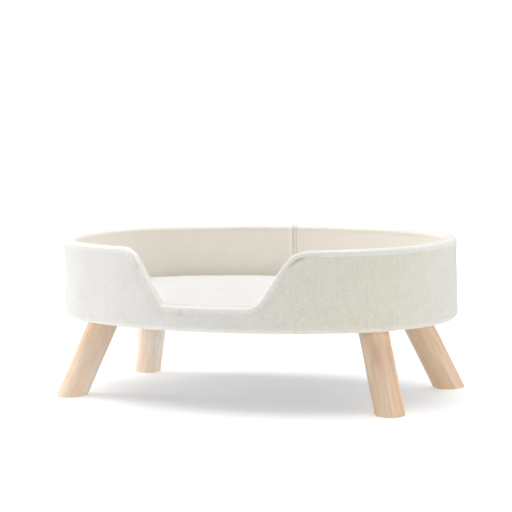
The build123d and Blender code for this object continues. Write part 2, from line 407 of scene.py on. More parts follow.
def weigh(tree, *pairs):
    # Sum of values, each times its weight
    total = None
    for value, weight in pairs:
        part = times(tree, value, weight)
        total = part if total is None else mathNode(tree, "ADD", total, part)
    return total


# Finishes
def newFinish(name):
    mat = bpy.data.materials.new(name)
    mat.use_nodes = True
    return mat, mat.node_tree


def feedShader(mat, feeds):
    shader = next(n for n in mat.node_tree.nodes if n.type == "BSDF_PRINCIPLED")
    for key, value in feeds.items():
        feed(mat.node_tree, value, shader.inputs[key])
    return mat


# Noise is (scale, detail, roughness), a reach is where a change begins and ends
plush = {
    "pebbles": (420, 3, 0.68),
    "streaks": (190, 3, 0.6),
    "patches": (26, 3, 0.5),
    "fibres": (900, 3, 0.7),
    "weights": (0.5, 0.27, 0.23),  # of pebbles, streaks and patches
    "bumpWeights": (0.7, 0.5),
    "fibreShare": 0.12,
    "partedShare": 0.7,
    "stops": (0.41, 0.57),
    "tuftFlecks": (300, 2, 0.6),
    "tuftStops": (0.36, 0.6),
    # The specks and their stops paint fine shadow between the tufts
    "specks": (560, 2, 0.6),
    "tuftShadowStops": [(0.38, (0.81, 0.8, 0.75)), (0.56, (1, 1, 1))],
    "crispReach": (-0.2, 0.12),
    # Painted warm light on the cover's front right: where it reaches and its tint
    "warmLightReach": (-0.02, 0.2),
    "frontReach": (0, -0.1),
    "paintedWarmLight": (1.0, 0.985, 0.91),
    "catchingLight": (0.99, 0.96, 0.88),
    "coarseBump": (0.0016, 0.75),
    "fineBump": (0.0008, 0.7),
    "roughness": (0.82, 1.0),
    "tuftRoughness": (0.85, 1.0),
    "sheen": 0.25,
    "tuftSheen": 0.2,
    "sheenRoughness": 0.45,
    "specular": 0.15,
}


def brushedAndShadedShare(tree):
    # 0 where the nap lies smooth, at the left, and 1 where it stands crisp, from the entrance rightwards; it
    # also sets where the painted shadow between tufts shows
    return rangeNode(tree, axisNodes(tree)["X"], reach=plush["crispReach"], kind="SMOOTHSTEP")


def paintTuftShadows(tree, base, strength):
    # Painted shadow: fine dark specks between tufts, strongest where the nap stands crisp
    shadow = rampNode(tree, noiseNode(tree, objectPattern(tree), *plush["specks"]), plush["tuftShadowStops"])
    return mixColour(tree, times(tree, brushedAndShadedShare(tree), strength), base, shadow)


def paintWarmLight(tree, base):
    # Painted warm light: a creamier tint on the front right of the entrance, where warm light falls
    spot = axisNodes(tree)
    right = rangeNode(tree, spot["X"], reach=plush["warmLightReach"], kind="SMOOTHSTEP")
    front = rangeNode(tree, spot["Y"], reach=plush["frontReach"], kind="SMOOTHSTEP")
    return mixColour(tree, times(tree, right, front), base, plush["paintedWarmLight"])


def feedPlush(mat, base, roughness, sheen, **more):
    return feedShader(mat, {
        "Base Color": base, "Roughness": roughness, "Sheen Weight": sheen,
        "Sheen Roughness": plush["sheenRoughness"], "Specular IOR Level": plush["specular"], **more,
    })


def plushFinish(name, light, dark, inner=None, lay=(1, 1, 0.3), groundAndShade=None, raised=0, bump=1, crispAndShaded=0,
                paintedWarmLight=False):
    # Short pile: fine pebbly tufts, streaks along the lay and slow brushed patches
    # inner holds the tones of its inner side and ground the darker tone between parted pile, partly the
    # cloth's own ground and partly painted shade in seam grooves and creases
    mat, tree = newFinish(name)
    along, plain = objectPattern(tree, lay), objectPattern(tree)
    patterns = {"pebbles": plain, "streaks": along, "patches": plain, "fibres": along}
    pebbles, streaks, patches, fibres = (noiseNode(tree, v, *plush[key]) for key, v in patterns.items())
    tone = weigh(tree, *zip((pebbles, streaks, patches), plush["weights"]))
    base = rampNode(tree, tone, list(zip(plush["stops"], (dark, light))))
    if inner:
        inside = rampNode(tree, tone, list(zip(plush["stops"], reversed(inner))))
        base = mixColour(tree, attributeNode(tree, "inside"), base, inside, "MIX")
    base = mixColour(tree, times(tree, fibres, plush["fibreShare"]), base, dark)
    # Painted shadow between tufts
    if crispAndShaded:
        base = paintTuftShadows(tree, base, crispAndShaded)
    # Painted warm light on the front right
    if paintedWarmLight:
        base = paintWarmLight(tree, base)
    # Painted highlight on the doubled cloth beside the back seam
    if raised:
        share = times(tree, attributeNode(tree, "raised"), raised)
        base = mixColour(tree, share, base, plush["catchingLight"], "MIX")
    # Darker seam lines and crease: partly the ground between parted pile, partly painted shade
    if groundAndShade:
        share = times(tree, attributeNode(tree, "parted"), plush["partedShare"])
        base = mixColour(tree, share, base, groundAndShade, "MIX")
    crispness = mathNode(tree, "MULTIPLY_ADD", brushedAndShadedShare(tree), 2 * crispAndShaded, 1.0)
    grain = times(tree, weigh(tree, *zip((pebbles, streaks), plush["bumpWeights"])), crispness)
    (coarseDeep, coarse), (fineDeep, fine) = plush["coarseBump"], plush["fineBump"]
    under = bumpNode(tree, grain, coarseDeep, coarse * bump)
    return feedPlush(mat, base, rangeNode(tree, fibres, *plush["roughness"]), plush["sheen"],
                     Normal=bumpNode(tree, fibres, fineDeep, fine * bump, under))


def pileFinish(name, light, dark, crispAndShaded=0, paintedWarmLight=False):
    # The tufts themselves, which vary from one to the next
    mat, tree = newFinish(name)
    fleck = noiseNode(tree, objectPattern(tree), *plush["tuftFlecks"])
    base = rampNode(tree, fleck, list(zip(plush["tuftStops"], (dark, light))))
    # Painted shadow between tufts
    if crispAndShaded:
        base = paintTuftShadows(tree, base, crispAndShaded)
    # Painted warm light on the front right
    if paintedWarmLight:
        base = paintWarmLight(tree, base)
    return feedPlush(mat, base, rangeNode(tree, fleck, *plush["tuftRoughness"]), plush["tuftSheen"])


# Pale close-grained hardwood; a layer is (pull along the leg, scale, detail, roughness, distortion)
wood = {
    "tones": [(0.38, (0.89, 0.645, 0.475)), (0.5, (0.97, 0.775, 0.6)), (0.62, (0.99, 0.87, 0.73))],
    "grain": (0.05, 190, 5, 0.6, 0.3),
    "bands": (0.05, 52, 3, 0.5, 0.6),
    "blotches": (0.18, 30, 3, 0.55),
    "pores": (0.09, 820, 2, 0.5),
    "rings": {"Scale": 46, "Distortion": 9, "Detail": 4, "Detail Scale": 0.7, "Detail Roughness": 0.65},
    "ringPull": 0.13,
    "weights": (0.4, 0.4, 0.07),  # of bands, grain and rings
    "lighter": 0.065,
    "heart": (0.035, 0.012, 0),  # how far beside the leg the tree's heart lay
    "heartLean": (0.04, 0.05, 0),
    "stains": [(0.36, (0.95, 0.86, 0.76)), (0.6, (1, 1, 1))],
    "flecks": [(0.28, (0.85, 0.72, 0.6)), (0.38, (1, 1, 1))],
    "fleckShare": 0.6,
    "roughness": (0.42, 0.66),
    "specular": 0.35,
    "bump": (0.0003, 0.5),
}


def woodFinish(name, turn, centre, legLightAndShade):
    # Its grain runs along the leg
    mat, tree = newFinish(name)
    grain, bands, blotches, pores = (
        noiseNode(tree, objectPattern(tree, (1, 1, pull), turn, centre), *values)
        for pull, *values in (wood[key] for key in ("grain", "bands", "blotches", "pores")))
    heart = [c + o for c, o in zip(centre, wood["heart"])]
    ringTurn = [t + o for t, o in zip(turn, wood["heartLean"])]
    feeds = {"Vector": objectPattern(tree, (1, 1, wood["ringPull"]), ringTurn, heart), **wood["rings"]}
    rings = addNode(tree, "ShaderNodeTexWave", feeds, wave_type="RINGS", rings_direction="Z").outputs["Fac"]
    tone = weigh(tree, *zip((bands, grain, rings), wood["weights"]))
    tone = mathNode(tree, "ADD", tone, wood["lighter"])
    # Painted light and shade: the leg's tone is scaled lighter or darker for the light that falls on it
    base = mixColour(tree, 1.0, rampNode(tree, tone, wood["tones"]), legLightAndShade)
    base = mixColour(tree, 1.0, base, rampNode(tree, blotches, wood["stains"]))
    base = mixColour(tree, wood["fleckShare"], base, rampNode(tree, pores, wood["flecks"]))
    return feedShader(mat, {
        "Base Color": base,
        "Roughness": rangeNode(tree, grain, *wood["roughness"]),
        "Specular IOR Level": wood["specular"],
        "Normal": bumpNode(tree, mathNode(tree, "ADD", grain, times(tree, pores, 0.6)), *wood["bump"]),
    })


def fibreFinish(name, light, dark, scale, roughness, bump, stretch=(1, 1, 1)):
    # Boards and foam: two tones in a fine grain
    mat, tree = newFinish(name)
    spot = objectPattern(tree, stretch)
    fine = noiseNode(tree, spot, scale, 5, 0.65)
    broad = noiseNode(tree, spot, scale / 9, 2, 0.5)
    tone = weigh(tree, (fine, 0.6), (broad, 0.4))
    return feedShader(mat, {
        "Base Color": rampNode(tree, tone, [(0.36, dark), (0.64, light)]),
        "Roughness": rangeNode(tree, fine, roughness - 0.1, min(1.0, roughness + 0.1)),
        "Normal": bumpNode(tree, fine, bump, 0.8),
    })


def clothFinish(name, light, dark, pitch, roughness):
    # Plain weave or pressed cloth: crossed threads of that pitch over a slow change of tone
    mat, tree = newFinish(name)
    spot = objectPattern(tree)
    threads = axisNodes(tree, spot)
    waves = [mathNode(tree, "SINE", times(tree, threads[axis], 2 * pi / pitch)) for axis in (0, 1)]
    weave = mathNode(tree, "MULTIPLY_ADD", times(tree, *waves), 0.5, 0.5)
    slow = noiseNode(tree, spot, 45, 3, 0.5)
    fuzz = noiseNode(tree, spot, 900, 2, 0.6)
    tone = weigh(tree, (weave, 0.35), (slow, 0.4), (fuzz, 0.25))
    return feedShader(mat, {
        "Base Color": rampNode(tree, tone, [(0.3, dark), (0.7, light)]),
        "Roughness": rangeNode(tree, fuzz, roughness - 0.1, roughness + 0.1),
        "Sheen Weight": 0.1,
        "Normal": bumpNode(tree, mathNode(tree, "ADD", weave, fuzz), 0.0003, 0.7),
    })


def metalFinish(name):
    # Zinc plating: a spangled grey with fine scratches
    mat, tree = newFinish(name)
    spangle = noiseNode(tree, objectPattern(tree), 700, 3, 0.6)
    scratch = noiseNode(tree, objectPattern(tree, (1, 1, 0.1)), 1500, 2, 0.5)
    return feedShader(mat, {
        "Base Color": rampNode(tree, spangle, [(0.3, (0.46, 0.47, 0.48)), (0.7, (0.66, 0.67, 0.68))]),
        "Roughness": rangeNode(tree, spangle, 0.28, 0.5),
        "Metallic": 1.0,
        "Normal": bumpNode(tree, scratch, 0.00008, 0.5),
    })


# Light and dark tone of each cloth
plushTones = {
    "outer": ((0.927, 0.912, 0.872), (0.865, 0.849, 0.805)),
    "lining": ((0.957, 0.921, 0.843), (0.938, 0.886, 0.797)),
    # The rim's tones are lighter than the outer cloth's: painted light for what its crest and fuzz catch from
    # above
    "rim": ((0.975, 0.958, 0.915), (0.93, 0.912, 0.868)),
    "rimPilePaintedLight": ((0.98, 0.968, 0.925), (0.94, 0.926, 0.88)),
    "cushion": ((0.827, 0.815, 0.8), (0.78, 0.767, 0.753)),
    "thread": ((0.95, 0.9, 0.81), (0.86, 0.8, 0.7)),
}
# Tones between parted pile: partly the cloth's own ground, partly painted shade in seam grooves and creases
coverGroundAndShade, seamGroundAndShade = (0.6, 0.57, 0.52), (0.66, 0.56, 0.45)
outerPlush = plushFinish("outerPlush", *plushTones["outer"], groundAndShade=coverGroundAndShade, crispAndShaded=0.42, paintedWarmLight=True)
rimPlushPaintedLight = plushFinish("rimPlushPaintedLight", *plushTones["rim"], plushTones["lining"], groundAndShade=seamGroundAndShade,
                       raised=0.6, crispAndShaded=0.3)
liningPlush = plushFinish("liningPlush", *plushTones["lining"], lay=(1, 1, 0.4), groundAndShade=seamGroundAndShade,
                          raised=0.6, bump=0.7)
cushionPlush = plushFinish("cushionPlush", *plushTones["cushion"], lay=(0.5, 1, 1), bump=0.8)
outerPile = pileFinish("outerPile", *plushTones["outer"], crispAndShaded=0.42, paintedWarmLight=True)
rimPilePaintedLight = pileFinish("rimPilePaintedLight", *plushTones["rimPilePaintedLight"])
liningPile = pileFinish("liningPile", *plushTones["lining"])
cushionPile = pileFinish("cushionPile", *plushTones["cushion"])
seamThread = pileFinish("seamThread", *plushTones["thread"])
cushionCloth = clothFinish("cushionCloth", (0.62, 0.6, 0.56), (0.5, 0.48, 0.45), 0.0011, 0.85)
dustCloth = clothFinish("dustCloth", (0.035, 0.036, 0.038), (0.018, 0.018, 0.019), 0.0016, 0.8)
plywood = fibreFinish("plywood", (0.62, 0.46, 0.29), (0.42, 0.29, 0.17), 260, 0.75, 0.0003, (0.12, 1, 6))
hardboard = fibreFinish("hardboard", (0.27, 0.17, 0.09), (0.17, 0.1, 0.05), 600, 0.7, 0.0002)
foam = fibreFinish("foam", (0.86, 0.82, 0.62), (0.74, 0.69, 0.5), 1100, 0.95, 0.0006)
stapleWire = metalFinish("stapleWire")
zincSteel = metalFinish("zincSteel")
print("finishes made:", len(bpy.data.materials))

# Camera, where the photographer stood
camera = {
    "azimuth": 26.04,
    "pitch": 6.164,
    "roll": -1.519,
    "distance": 2.9415,
    "focal": 2012,
    "aimRight": -0.00064,
    "aimLevel": 0.20025,
    "frame": 512,
    "sensor": 36,
    "farthest": 50,
}


def makeCamera():
    az, pitch, roll = (radians(camera[k]) for k in ("azimuth", "pitch", "roll"))
    back = Vector((sin(az) * cos(pitch), -cos(az) * cos(pitch), sin(pitch)))
    right = Vector((cos(az), sin(az), 0))
    up = back.cross(right)
    rolledRight = right * cos(roll) + up * sin(roll)
    rolledUp = up * cos(roll) - right * sin(roll)
    aim = right * camera["aimRight"] + Vector((0, 0, camera["aimLevel"]))
    data = bpy.data.cameras.new("photoCamera")
    data.sensor_width = camera["sensor"]
    data.lens = camera["focal"] * camera["sensor"] / camera["frame"]
    data.clip_end = camera["farthest"]
    obj = bpy.data.objects.new("photoCamera", data)
    turn = Matrix((rolledRight, rolledUp, back)).transposed().to_4x4()
    obj.matrix_world = Matrix.Translation(aim + back * camera["distance"]) @ turn
    scene.collection.objects.link(obj)
    scene.camera = obj


makeCamera()
print("camera set")

# Padded band along the top edge: outer cloth outside and lining inside
rimBand = {
    "depth": 0.008,
    "outerRound": 0.0052,
    "innerRound": 0.006,
    "corner": 0.0003,
    "roundRows": 7,
    "flankRows": 4,
    "topRows": 5,
    "underRows": 3,
    "crown": 0.0005,
    "lumps": (0.0003, 0.012, 11),
    "waves": (0.0004, 0.045, 12),
    "lumpReach": 0.003,
    "outerShare": (0.1, 0.4),  # shares of the thickness, from outside inwards
    "foldShare": (0.3, 0.7),
    "seamShare": (0.3, 0.6),
    "innerShare": (0.60, 0.86),
    "seamRoll": 0.0022,
    "seamDip": 0.0001,
    "inwardRumple": 0.35,
    "flankReach": (-0.001, 0.004),
    "crestReach": (0.001, 0.007),
}

# Outer cover: down the wall, round the lower edge and turned under
outerCover = {
    "cloth": 0.0022,
    "tuck": 0.0009,
    "wallInset": 0.0001,
    "wallRows": 34,
    "rowGrowth": 1.25,
    "bottomRound": 0.008,
    "bottomInset": 0.0003,
    "roundRows": 6,
    "hemEnd": 0.03,
    "hemRows": 9,
    "wallStart": (0.001, 0.012),  # heights above the underside
    "gatherReach": (0.006, 0.02),
    "freeReach": (-0.001, 0.012),  # distances below the band
    "freeInset": 0.0002,
    "seamRoll": 0.003,
    "undulation": (0.0007, 0.06, 1, (1, 1, 0.8)),
    "mottle": (0.00022, 0.0085, 2, (1, 1, 1.3)),
    "streaks": (0.00022, 0.006, 3, (1, 1, 5)),
    "gather": (0.0003, 0.009, 5),
    "gatherSquash": 0.3,
    "pleats": (0.0007, 0.007, 6),
    "pleatMost": 0.00021,
    "pleatReach": (0.009, 0.014),
}


def outerCoverRows():
    # (inset, level) from the band down, round the lower edge and inwards below
    c, r = outerCover, outerCover["bottomRound"]
    under, low = tub["underside"], tub["underside"] + r
    rows = [(c["tuck"], below(rimBand["depth"] - c["tuck"]))]
    for k in range(c["wallRows"]):
        rows.append((c["wallInset"], below(rimBand["depth"], low, (k / c["wallRows"]) ** c["rowGrowth"])))
    rows += [(r * (1 - co) + c["bottomInset"], low - r * si) for si, co in quarterTurn(c["roundRows"])]
    rows += [(r + (c["hemEnd"] - r) * k / c["hemRows"], under) for k in range(1, c["hemRows"] + 1)]
    return rows


def makeOuterCover():
    c, rows, under = outerCover, outerCoverRows(), tub["underside"]
    flat, side = ringPoints(rows, stations)
    along = np.repeat(stations, len(rows))
    level = flat[:, 2].copy()
    onWall = fade(level - under, *c["wallStart"])
    fromSeam = topEdge(flat[:, 0], flat[:, 1], rimBand["depth"]) - level
    free = fade(fromSeam, *c["freeReach"])
    parted = parting(flat, [backSeam["outerLine"]])
    creased = crease(flat) * bell(fromSeam, fold["creaseWidth"])
    bulge = free * sum(relief(flat, *c[key]) for key in ("undulation", "mottle", "streaks"))
    gathered = 1 - fade(level - under, *c["gatherReach"])
    bulge += relief(unrolled(along, level, c["gatherSquash"]), *c["gather"]) * gathered
    bulge += entranceRumple(flat, along)
    bulge -= drawnIn(flat) * np.exp(-np.maximum(fromSeam, 0) / c["seamRoll"])
    bulge -= backSeam["grooveDepth"] * parted
    flat[:, :2] += side * ((bulge - c["freeInset"] * free) * onWall)[:, None]
    pleats = np.minimum(relief(unrolled(along, along, 0), *c["pleats"]), c["pleatMost"])
    flat[:, 2] += pleats * fade(np.tile([row[0] for row in rows], len(stations)), *c["pleatReach"])
    # The crease under the fold is painted in shade with the parted pile's dark tone
    parted = np.maximum(parted, creased)
    return meshObject("outerCover", flat, flipped(ringFaces(flat, rows)), cloth=c["cloth"], parted=parted,
                      pile=onWall * (1 - parted), ruffled=besideEntrance(flat) * onWall)


outerCoverPiece = settle(makeOuterCover(), outerPlush, "bed", "outer_plush", "outer_cover")


def rimBandRows():
    # (inset, drop) up the outer flank, over the crest, down the inner flank and back below
    b, wide = rimBand, tub["thickness"]
    deep, outer, inner, corner = b["depth"], b["outerRound"], b["innerRound"], b["corner"]
    rows = [(0, deep), (0, deep - corner)]
    rows += [(0, deep - (deep - outer) * k / b["flankRows"]) for k in range(1, b["flankRows"])]
    rows += [(outer * (1 - co), outer * (1 - si)) for si, co in quarterTurn(b["roundRows"])]
    for k in range(1, b["topRows"]):
        share = k / b["topRows"]
        rows.append((outer + (wide - outer - inner) * share, -b["crown"] * sin(pi * share)))
    rows += [(wide - inner * (1 - co), inner * (1 - si)) for si, co in reversed(quarterTurn(b["roundRows"]))]
    rows += [(wide, inner + (deep - inner) * k / b["flankRows"]) for k in range(1, b["flankRows"])]
    rows += [(wide, deep - corner), (wide, deep), (wide - corner, deep)]
    rows += [(wide - wide * k / b["underRows"], deep) for k in range(1, b["underRows"])]
    rows.append((corner, deep))
    return rows


def makeRimBand():
    b, rows = rimBand, rimBandRows()
    flat, side = ringPoints([(inset, below(drop)) for inset, drop in rows], stations)
    along = np.repeat(stations, len(rows))
    inset, drop = (np.tile([row[k] for row in rows], len(stations)) for k in (0, 1))
    share = inset / tub["thickness"]
    outside, inside = 1 - fade(share, *b["outerShare"]), fade(share, *b["innerShare"])
    atSeam = np.exp(-(b["depth"] - drop) / b["seamRoll"])
    above = drop < b["depth"] - 1e-6
    outerSeam, innerSeam = parting(flat, [backSeam["outerLine"]]), parting(flat, backSeam["stitchLines"])
    grow = relief(flat, *b["lumps"]) + relief(flat, *b["waves"])
    grow *= 1 - fade(drop, b["lumpReach"], b["depth"])
    grow += entranceRumple(flat, along) * (b["inwardRumple"] + (1 - b["inwardRumple"]) * outside)
    grow -= drawnIn(flat) * outside * atSeam + b["seamDip"] * atSeam
    folded = bell(flat[:, 0] - fold["middle"], fold["halfWidth"]) * (flat[:, 1] < 0)
    grow += fold["height"] * folded * (1 - fade(share, *b["foldShare"]))
    grow += seamRelief(flat) * fade(share, *b["seamShare"]) - backSeam["grooveDepth"] * outerSeam * outside
    grow *= above
    towards = np.clip((share - 0.5) * 2, -1, 1)
    flat[:, :2] -= side * (grow * towards * fade(drop, *b["flankReach"]))[:, None]
    flat[:, 2] += grow * (1 - fade(drop, *b["crestReach"]))
    parted = np.clip(outerSeam * outside + innerSeam * fade(share, *b["seamShare"]), 0, 1)
    # The crease under the fold is painted in shade with the parted pile's dark tone
    parted = np.maximum(parted, crease(flat) * outside * bell(b["depth"] - drop, fold["creaseWidth"]))
    onShow = above * (1 - parted)
    return meshObject("rimBand", flat, ringFaces(flat, rows, True), inside=inside, parted=parted,
                      pile=onShow * (1 - inside), innerPile=onShow * inside, raised=doubled(flat) * inside,
                      ruffled=besideEntrance(flat) * onShow * (1 - inside))


rimBandPiece = settle(makeRimBand(), rimPlushPaintedLight, "bed", "rim_plush", "rim_band")

# Lining of the wall's inner face, with its closing seam at the back
lining = {
    "cloth": 0.0022,
    "rows": 30,
    "lift": 0.0002,  # how far it stands in front of the wall's inner face
    "footLevel": 0.132,
    "topGap": 0.0001,
    "pinch": 0.0005,
    "pinchReach": 0.003,
    "height": 0.088,
    "undulation": (0.0006, 0.05, 21, (1, 1, 0.8)),
    "streaks": (0.00016, 0.007, 22, (1, 1, 3)),
    "bulgeMost": 0.0005,
    "seamReach": (0, 0.012),
    "footReach": (0.022, 0.032),
    "cushionLevel": (0.153, 0.158),  # below, the cushion hides it
}


def makeLining():
    c, deep = lining, rimBand["depth"]
    face = tub["thickness"] - c["lift"]
    rows = [(face, below(deep - c["lift"]))]
    for k in range(c["rows"] + 1):
        share = k / c["rows"]
        pinch = c["pinch"] * np.exp(-(1 - share) * c["height"] / c["pinchReach"])
        rows.append((face - pinch, below(deep + c["topGap"], c["footLevel"], share)))
    flat, side = ringPoints(rows, stations)
    bulge = relief(flat, *c["undulation"]) + relief(flat, *c["streaks"])
    free = fade(topEdge(flat[:, 0], flat[:, 1], deep) - flat[:, 2], *c["seamReach"])
    free *= fade(flat[:, 2] - tub["floorTop"], *c["footReach"])
    showing = fade(flat[:, 2], *c["cushionLevel"])
    parted = np.clip(parting(flat, backSeam["stitchLines"]) * showing, 0, 1)
    bulge = np.minimum(bulge, c["bulgeMost"]) * free + seamRelief(flat) * showing
    flat[:, :2] -= side * bulge[:, None]
    return meshObject("wallLining", flat, ringFaces(flat, rows), cloth=c["cloth"], parted=parted,
                      innerPile=showing * (1 - parted), raised=doubled(flat))


liningPiece = settle(makeLining(), liningPlush, "bed", "lining_plush", "wall_lining")

# Foam on both faces of the wall board
wallFoam = {
    "thickness": 0.0036,
    "topDrop": 0.0086,
    "rows": 8,
    "stationStep": 0.008,
    "uneven": 0.0001,
    "lumpSize": 0.02,
}


def makeFoam(name, inset, low, seed):
    count = wallFoam["rows"]
    rows = [(inset, below(wallFoam["topDrop"], low, k / count)) for k in range(count + 1)]
    inner = inset + wallFoam["thickness"]
    rows += [(inner, below(wallFoam["topDrop"], low, 1 - k / count)) for k in range(count + 1)]
    lengths = evenLengths(round(ovalLength / wallFoam["stationStep"]))
    flat, side = ringPoints(rows, lengths)
    flat[:, :2] += side * relief(flat, wallFoam["uneven"], wallFoam["lumpSize"], seed)[:, None]
    return meshObject(name, flat, flipped(ringFaces(flat, rows, True)))


# name, solid, inset, lower edge, seed
for name, node, inset, low, seed in (
    ("outerFoam", "outer_foam", 0.0029, 0.1245, 31),
    ("innerFoam", "inner_foam", 0.0115, 0.1295, 32),
):
    settle(makeFoam(name, inset, low, seed), foam, "bed", "foam", node)

# Flat cloths: the tub's floor, the dust cover below and the cushion's underside
ovalSheet = {
    "columns": 200,
    "rings": 26,
    "evenSag": 0.6,
    "lumpySag": 0.4,
    "lumpSize": 0.05,
    "lumpReach": (0.75, 0.95),
}


def makeOvalSheet(name, inset, level, thickness, sag, seed):
    # Rings of points from the middle out, closed in the middle
    columns, rings = ovalSheet["columns"], ovalSheet["rings"]
    place, out = ovalAt(evenLengths(columns))
    rim = place - out * inset
    points = [(0, 0, level)]
    for j in range(1, rings + 1):
        points.extend((x, y, level) for x, y in rim * (j / rings))
    flat = np.array(points)
    reach = np.hypot(flat[:, 0] / tub["halfLength"], flat[:, 1] / tub["halfDepth"])
    flat[:, 2] -= sag * ovalSheet["evenSag"] * (1 - np.minimum(reach, 1) ** 2)
    lumps = relief(flat, sag * ovalSheet["lumpySag"], ovalSheet["lumpSize"], seed)
    flat[:, 2] += lumps * (1 - fade(reach, *ovalSheet["lumpReach"]))
    faces = [(0, 1 + i, 1 + (i + 1) % columns) for i in range(columns)]
    for j in range(rings - 1):
        a, b = 1 + j * columns, 1 + (j + 1) * columns
        faces.extend((a + i, b + i, b + (i + 1) % columns, a + (i + 1) % columns) for i in range(columns))
    return meshObject(name, flat, faces, cloth=thickness)


# name, inset, level, thickness, sag, seed
floorCloth = makeOvalSheet("floorCloth", 0.0160, 0.1314, 0.0018, 0.0, 41)
settle(floorCloth, liningPlush, "bed", "lining_plush", "floor_cover")
dustSheet = makeOvalSheet("dustSheet", 0.0087, 0.1171, 0.0006, 0.0006, 42)
settle(dustSheet, dustCloth, "bed", "dust_cloth", "dust_cover")

# Cushion, swollen by a cloth simulation with pressure
cushion = {
    "bottom": 0.1319,
    "thickness": 0.023,
    "edgeHeight": 0.019,
    "inset": 0.0202,
    "roll": 0.007,
    "crownRun": 0.1,
    "side": (  # (share of the edge's height, share of the roll), from the panel up
        (0.13, 0.2), (0.2, 0.1), (0.32, 0.02), (0.5, 0), (0.7, 0.06), (0.86, 0.3), (0.96, 0.62), (1, 1)),
    "crown": ((0.3, 0.16), (0.6, 0.4), (0.85, 0.7), (1, 1)),  # (share of the crown, share of its run)
    "columns": 150,
    "voxel": 0.005,
    "frames": 20,
    "pinned": 0.0008,
    "cap": 0.0022,
    "waves": (0.0006, 0.05, 51),
    "mottle": (0.00022, 0.011, 52),
    "mottleReach": (0.004, 0.016),
    "pileReach": (0.013, 0.017),
    "pileFacing": (0.45, 0.85),
    "panelInset": 0.0036,
    "panelThickness": 0.0013,
    "panelGap": 0.0002,
}
swelling = {
    "quality": 6,
    "mass": 0.25,
    "tension_stiffness": 12,
    "compression_stiffness": 12,
    "shear_stiffness": 6,
    "bending_stiffness": 0.6,
    "use_pressure": True,
    "uniform_pressure_force": 4.0,
}


def cushionSection():
    # (height, inset) from the bottom's middle round the side to the top's middle
    h, e, roll, run = (cushion[k] for k in ("thickness", "edgeHeight", "roll", "crownRun"))
    low = (cushion["panelThickness"] + cushion["panelGap"]) / e
    rows = [(share * e, inward * roll) for share, inward in ((low, 0.5), *cushion["side"])]
    return rows + [(e + s * (h - e), roll + t * run) for s, t in cushion["crown"]]


def makeCushionForm():
    columns, rows = cushion["columns"], cushionSection()
    place, out = ovalAt(evenLengths(columns))
    points, faces = [], []
    for height, inward in rows:
        edge = place - out * (cushion["inset"] + inward)
        points.extend((x, y, cushion["bottom"] + height) for x, y in edge)
    for j in range(len(rows) - 1):
        a, b = j * columns, (j + 1) * columns
        faces.extend((a + i, a + (i + 1) % columns, b + (i + 1) % columns, b + i) for i in range(columns))
    faces.append(tuple(reversed(range(columns))))
    last = (len(rows) - 1) * columns
    faces.append(tuple(last + i for i in range(columns)))
    return meshObject("cushionForm", np.array(points), faces)


def evaluated(obj):
    graph = bpy.context.evaluated_depsgraph_get()
    graph.update()
    return bpy.data.meshes.new_from_object(obj.evaluated_get(graph))


def meshPoints(mesh):
    co = np.zeros(len(mesh.vertices) * 3)
    mesh.vertices.foreach_get("co", co)
    return co.reshape(-1, 3)


def swap(obj, mesh):
    old = obj.data
    obj.modifiers.clear()
    obj.data = mesh
    bpy.data.meshes.remove(old)


def simulateCushion(obj):
    rest = meshPoints(obj.data).copy()
    pin = obj.vertex_groups.new(name="pin")
    low = rest[:, 2] < rest[:, 2].min() + cushion["pinned"]
    pin.add([int(i) for i in np.nonzero(low)[0]], 1.0, "REPLACE")
    cloth = obj.modifiers.new("swell", "CLOTH")
    for key, value in swelling.items():
        setattr(cloth.settings, key, value)
    cloth.settings.effector_weights.gravity = 0
    cloth.settings.vertex_group_mass = "pin"
    cloth.point_cache.frame_end = cushion["frames"]
    for f in range(1, cushion["frames"] + 1):
        scene.frame_set(f)
    moved = evaluated(obj)
    scene.frame_set(1)
    step = meshPoints(moved) - rest
    far = np.linalg.norm(step, axis=1)
    step *= np.minimum(1, cushion["cap"] / np.maximum(far, 1e-9))[:, None]
    moved.vertices.foreach_set("co", (rest + step).ravel())
    moved.update()
    swap(obj, moved)
    print("cushion swelled by at most %.1f mm" % (far.max() * 1000))


def makeCushion():
    obj, bottom = makeCushionForm(), cushion["bottom"]
    grid = obj.modifiers.new("voxels", "REMESH")
    grid.mode = "VOXEL"
    grid.voxel_size = cushion["voxel"]
    grid.use_smooth_shade = True
    swap(obj, evaluated(obj))
    simulateCushion(obj)
    fine = obj.modifiers.new("fine", "SUBSURF")
    fine.levels = fine.render_levels = 1
    swap(obj, evaluated(obj))
    co = meshPoints(obj.data)
    up = fade(co[:, 2] - bottom, *cushion["mottleReach"])
    co[:, 2] += up * (relief(co, *cushion["waves"]) + relief(co, *cushion["mottle"]))
    co[:, 2] = np.maximum(co[:, 2], bottom + cushion["panelThickness"] + cushion["panelGap"])
    obj.data.vertices.foreach_set("co", co.ravel())
    smooth(obj.data)
    obj.name = obj.data.name = "cushion"
    obj.vertex_groups.clear()
    facing = np.array([v.normal.z for v in obj.data.vertices])
    high = fade(co[:, 2] - bottom, *cushion["pileReach"])
    hold(obj, pile=fade(facing, *cushion["pileFacing"]) * high)
    return obj


cushionPiece = makeCushion()
settle(cushionPiece, cushionPlush, "cushion", "cushion_plush", "cushion_cover", "cushion_filling")
panelInset, panelThickness = cushion["inset"] + cushion["panelInset"], cushion["panelThickness"]
panelLevel = cushion["bottom"] + panelThickness
cushionPanel = makeOvalSheet("cushionPanel", panelInset, panelLevel, panelThickness, 0.0, 53)
settle(cushionPanel, cushionCloth, "cushion", "cushion_cloth", "cushion_underside")


